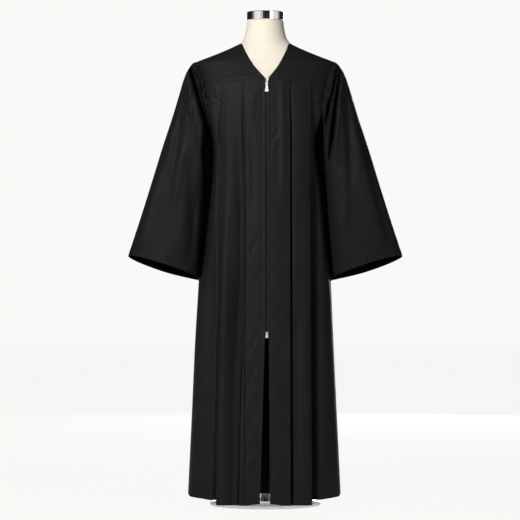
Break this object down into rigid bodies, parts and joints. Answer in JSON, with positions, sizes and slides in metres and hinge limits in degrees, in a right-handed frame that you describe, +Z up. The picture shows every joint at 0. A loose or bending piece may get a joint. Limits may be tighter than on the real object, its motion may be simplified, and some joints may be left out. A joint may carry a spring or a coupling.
{
  "type": "choir robe on a limbless dress form with stand",
  "caption": "Black choir robe with a V neck, yoke, zip front, knife pleats and wide bell sleeves, hung on a limbless dress form.",
  "frame": {"origin": "centre of the stand's underside, where it rests on the floor", "axes": "+Z up; the robe faces -Y; +X is the wearer's left"},
  "size_m": [0.823, 0.4421, 1.477],
  "materials": {
    "robe_cloth": "matte woven polyester with a faint sheen",
    "form_jersey": "smooth cream jersey cover",
    "chrome": "polished",
    "stand_paint": "matte black powder coat",
    "foot_glass": "clear cast glass",
    "zip_tape": "woven tape",
    "zip_coil": "nylon coil"
  },
  "bodies": {
    "robe_on_stand": {"stand_base": "foot_glass", "stand_pole": "stand_paint", "stand_collar": "stand_paint", "form_torso": "form_jersey", "neck_cap": "chrome", "yoke_front_right": "robe_cloth", "yoke_front_left": "robe_cloth", "yoke_back": "robe_cloth", "front_right": "robe_cloth", "front_left": "robe_cloth", "back": "robe_cloth", "sleeve_right": "robe_cloth", "sleeve_left": "robe_cloth", "zip_tape_left": "zip_tape", "zip_tape_right": "zip_tape", "zip_chain": "zip_coil", "zip_slider_upper": "chrome", "zip_slider_lower": "chrome"},
    "upper_pull": {"zip_pull_upper": "chrome"},
    "lower_pull": {"zip_pull_lower": "chrome"}
  },
  "joints": [
    {"name": "upper_pull_lift", "type": "hinge", "parent": "robe_on_stand", "child": "upper_pull", "pos_m": [0.00399, -0.12971, 1.25472], "axis": [-1, 0, 0], "range_deg": [0, 165]},
    {"name": "lower_pull_lift", "type": "hinge", "parent": "robe_on_stand", "child": "lower_pull", "pos_m": [0.004, -0.18626, 0.52124], "axis": [-1, 0, 0], "range_deg": [0, 165]}
  ]
}
